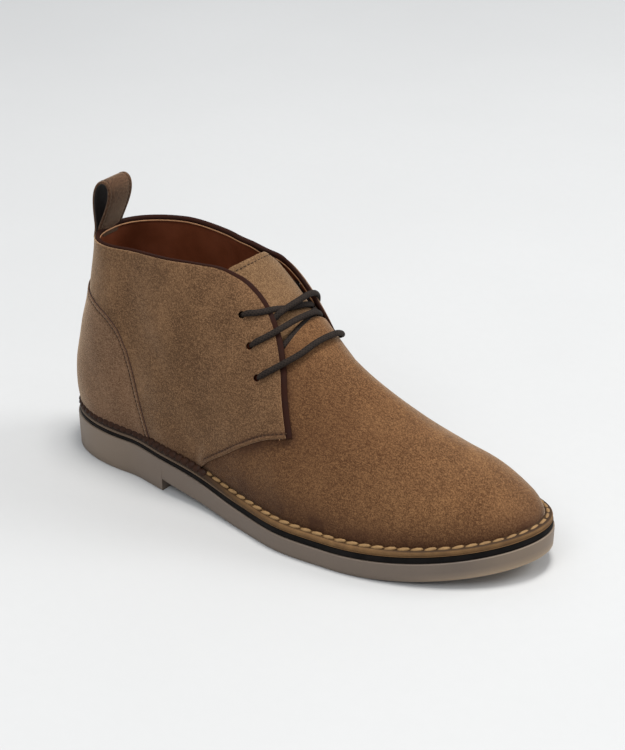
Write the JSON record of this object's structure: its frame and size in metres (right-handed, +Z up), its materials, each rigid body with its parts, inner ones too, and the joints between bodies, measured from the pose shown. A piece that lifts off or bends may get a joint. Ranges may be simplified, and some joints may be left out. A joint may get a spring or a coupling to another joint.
{
  "type": "chukka boot",
  "caption": "Right ankle boot in brown suede: hollow upper open at collar and laced throat, pull loop, leather welt, moulded rubber sole with heel.",
  "frame": {"origin": "centre of the footprint's bounding box, on the floor that the boot stands on", "axes": "+X from heel to toe, +Y to the inner (medial) side of the right foot, +Z up"},
  "size_m": [0.302, 0.1056, 0.1597],
  "materials": {
    "suede": "brushed brown suede",
    "lining_leather": "smooth red-brown lining leather",
    "edge_leather": "dark reddish rolled edge",
    "welt_leather": "waxed brown leather",
    "midsole_rubber": "matt black",
    "outsole_rubber": "satin grey-taupe, slightly translucent",
    "insole_leather": "smooth red-brown leather",
    "lace_cord": "waxed cotton cord",
    "thread": "waxed thread"
  },
  "bodies": {
    "root": {"outsole": "outsole_rubber", "midsole": "midsole_rubber", "welt": "welt_leather", "insole": "insole_leather", "upper": "suede", "tongue": "suede", "lace_bar": "lace_cord", "lace_crossing": "lace_cord", "pull_loop": "suede"}
  },
  "joints": []
}
